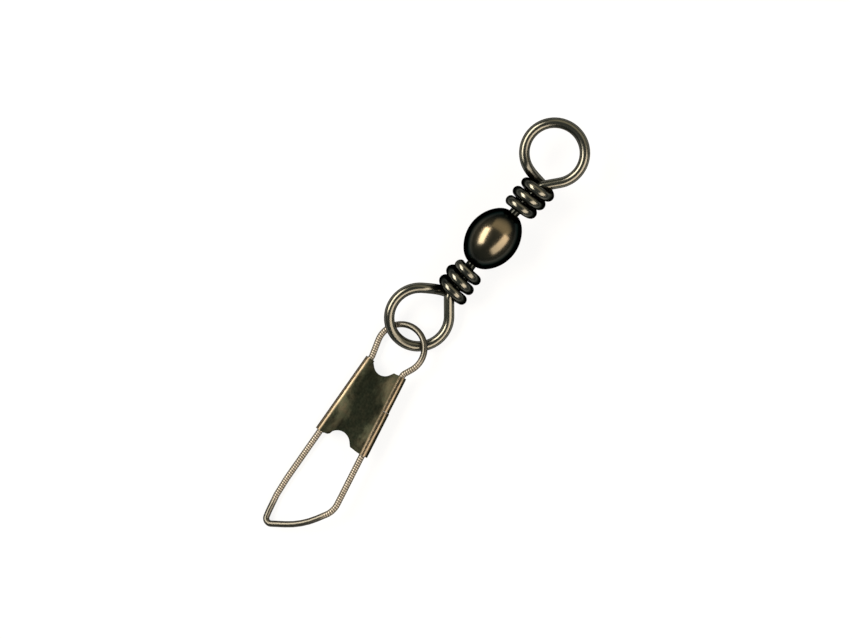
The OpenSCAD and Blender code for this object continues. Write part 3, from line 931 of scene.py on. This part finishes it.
class SWIVEL_OT_plate(bpy.types.Operator):
    """Cuts the locking plate, notches its ends and rolls its long edges round the wire"""

    bl_idname = "swivel.plate"
    bl_label = "Locking plate"

    def execute(self, context):
        snap = context.scene.swivel_snap
        sizes = context.scene.swivel_plate
        mesh = bmesh.new()
        far, near = -snap.plate_far, -snap.plate_near
        top = sizes.roll + sizes.sheet / 2
        closed_far = leg_point(snap, far, True) + UP * top
        closed_near = leg_point(snap, near, True) + UP * top
        open_near = leg_point(snap, near, False) + UP * top
        open_far = leg_point(snap, far, False) + UP * top
        crimp_end = leg_point(snap, -snap.split + sizes.slit / 2, False) + UP * top
        channel_end = leg_point(snap, -snap.split - sizes.slit / 2, False) + UP * top

        def flat(x, y):
            """Point on the flat sheet, from millimetres."""
            return Vector((x * MM, y * MM, top))

        def draw_through(vertex, corners):
            for corner in corners:
                vertex = draw_to(mesh, vertex, flat(*corner))
            return vertex

        # Hook end: shoulder, round notch and corner
        hook_notch = flat(-13.42, 0.72)
        start = mesh.verts.new(closed_far)
        last = draw_through(start, [(-13.1, 2.85), (-13.0, 2.33), (-12.81, 2.1), (-12.42, 1.94)])
        last = sweep_vertex(mesh, last, hook_notch, math.radians(-105))
        last = draw_through(last, [(-12.95, -0.9), (-13.08, -1.9)])

        # Open edge: channel, slit and crimp
        channel_far = draw_to(mesh, last, open_far)
        channel_near = draw_to(mesh, channel_far, channel_end)
        crimp_far = draw_to(mesh, channel_near, crimp_end)
        crimp_near = draw_to(mesh, crimp_far, open_near)

        # Loop end: nub, round notch and corner
        loop_notch = flat(-2.48, 0.46)
        last = draw_through(crimp_near, [(-2.86, -1.3), (-2.88, -1.0), (-3.22, -0.75)])
        last = sweep_vertex(mesh, last, loop_notch, math.radians(-112))
        last = draw_through(last, [(-2.8, 2.06)])
        last = draw_to(mesh, last, closed_near)
        closed_line = mesh.edges.new((last, start))
        bmesh.ops.triangle_fill(mesh, edges=mesh.edges[:], use_beauty=True, use_dissolve=False)
        if not mesh.faces:
            raise RuntimeError("the plate's outline did not close")

        def between(first, second):
            return [edge for edge in first.link_edges if second in edge.verts]

        rolled = sizes.rolled
        roll_edge(mesh, [closed_line], closed_far, closed_near, -top, -rolled)
        roll_edge(mesh, between(crimp_far, crimp_near), crimp_end, open_near, -top, rolled)
        channel_drop = -(sizes.channel + sizes.sheet / 2)
        channel_line = between(channel_far, channel_near)
        roll_edge(mesh, channel_line, open_far, channel_end, channel_drop, sizes.channel_rolled)

        piece = finish_piece(
            "locking_plate", mesh, snap_place(), "snap_plate", "snap",
            mottled_plate(sizes, snap), closed=False,
        )
        thick = piece.modifiers.new("Sheet", "SOLIDIFY")
        thick.thickness = sizes.sheet
        thick.offset = 0
        thick.use_even_offset = True
        rounding = piece.modifiers.new("Sheared edges", "BEVEL")
        rounding.width = sizes.sheared
        rounding.segments = 2
        rounding.limit_method = "ANGLE"
        rounding.angle_limit = math.radians(50)
        return {"FINISHED"}


class SWIVEL_OT_stage(bpy.types.Operator):
    """Sets the white table, the lamps, the surroundings and the camera"""

    bl_idname = "swivel.stage"
    bl_label = "Stage"

    def lamp(self, name, lean, toward, distance, width, height, shade, radiance):
        """Hangs a soft panel that faces the barrel, leaned from the vertical towards a compass angle."""
        light = bpy.data.lights.new(name, "AREA")
        light.shape = "RECTANGLE"
        light.size = width
        light.size_y = height
        light.color = shade
        light.energy = radiance * width * height * math.pi
        lamp = bpy.data.objects.new(name, light)
        bpy.context.scene.collection.objects.link(lamp)
        aim = Matrix.Translation((0.012, 0, 0.002))
        way = Matrix.Rotation(math.radians(toward), 4, "Z") @ Matrix.Rotation(math.radians(lean), 4, "Y")
        lamp.matrix_world = aim @ way @ Matrix.Translation((0, 0, distance))

    def execute(self, context):
        stage = context.scene.swivel_stage
        mesh = bmesh.new()
        bmesh.ops.create_grid(mesh, x_segments=8, y_segments=8, size=stage.table_size / 2)
        data = bpy.data.meshes.new("table")
        mesh.to_mesh(data)
        mesh.free()
        table = bpy.data.objects.new("table", data)
        context.scene.collection.objects.link(table)
        data.materials.append(white_table(stage))

        self.lamp(
            "key_strip", lean=43, toward=109, distance=0.3, width=0.13, height=0.28,
            shade=(1.0, 0.9, 0.76), radiance=stage.key,
        )
        self.lamp(
            "fill_strip", lean=44, toward=-97, distance=0.3, width=0.17, height=0.36,
            shade=(1.0, 0.85, 0.7), radiance=stage.fill,
        )
        self.lamp(
            "end_panel", lean=46, toward=0, distance=0.35, width=0.26, height=0.6,
            shade=(1.0, 0.86, 0.6), radiance=stage.end,
        )
        context.scene.world = plain_room(stage)

        view = bpy.data.cameras.new("view")
        view.sensor_width = 36
        view.lens = view.sensor_width * stage.view_distance / stage.view_width
        view.clip_start = 0.01
        view.clip_end = 50
        camera = bpy.data.objects.new("view", view)
        context.scene.collection.objects.link(camera)
        camera.location = (stage.view_x, stage.view_y, stage.view_height + stage.view_distance)
        camera.rotation_euler = (0, 0, stage.view_turn)
        context.scene.camera = camera
        context.scene.view_settings.view_transform = "Standard"
        return {"FINISHED"}


class SWIVEL_PT_panel(bpy.types.Panel):
    """Lists the pieces in the sidebar"""

    bl_idname = "SWIVEL_PT_panel"
    bl_label = "Snap Swivel"
    bl_space_type = "VIEW_3D"
    bl_region_type = "UI"
    bl_category = "Snap Swivel"

    def draw(self, context):
        layout = self.layout
        for piece in PIECES:
            layout.operator(piece.bl_idname)
        for group in GROUPS:
            box = layout.box()
            settings = getattr(context.scene, group)
            for name in type(settings).__annotations__:
                box.prop(settings, name)


PIECES = (
    SWIVEL_OT_stage,
    SWIVEL_OT_barrel,
    SWIVEL_OT_line_eye,
    SWIVEL_OT_snap_eye,
    SWIVEL_OT_snap_wire,
    SWIVEL_OT_plate,
)
GROUPS = {
    "swivel_barrel": BarrelSizes,
    "swivel_eyes": EyeSizes,
    "swivel_snap": SnapSizes,
    "swivel_plate": PlateSizes,
    "swivel_stage": StageSettings,
}


def register():
    for settings in GROUPS.values():
        bpy.utils.register_class(settings)
    for name, settings in GROUPS.items():
        setattr(bpy.types.Scene, name, PointerProperty(type=settings))
    for piece in PIECES:
        bpy.utils.register_class(piece)
    bpy.utils.register_class(SWIVEL_PT_panel)


def unregister():
    bpy.utils.unregister_class(SWIVEL_PT_panel)
    for piece in reversed(PIECES):
        bpy.utils.unregister_class(piece)
    for name in GROUPS:
        delattr(bpy.types.Scene, name)
    for settings in GROUPS.values():
        bpy.utils.unregister_class(settings)


def main():
    register()
    bpy.ops.swivel.stage()
    bpy.ops.swivel.barrel()
    bpy.ops.swivel.line_eye()
    bpy.ops.swivel.snap_eye()
    bpy.ops.swivel.snap_wire()
    bpy.ops.swivel.plate()
    bpy.context.view_layer.update()


if __name__ == "__main__":
    main()
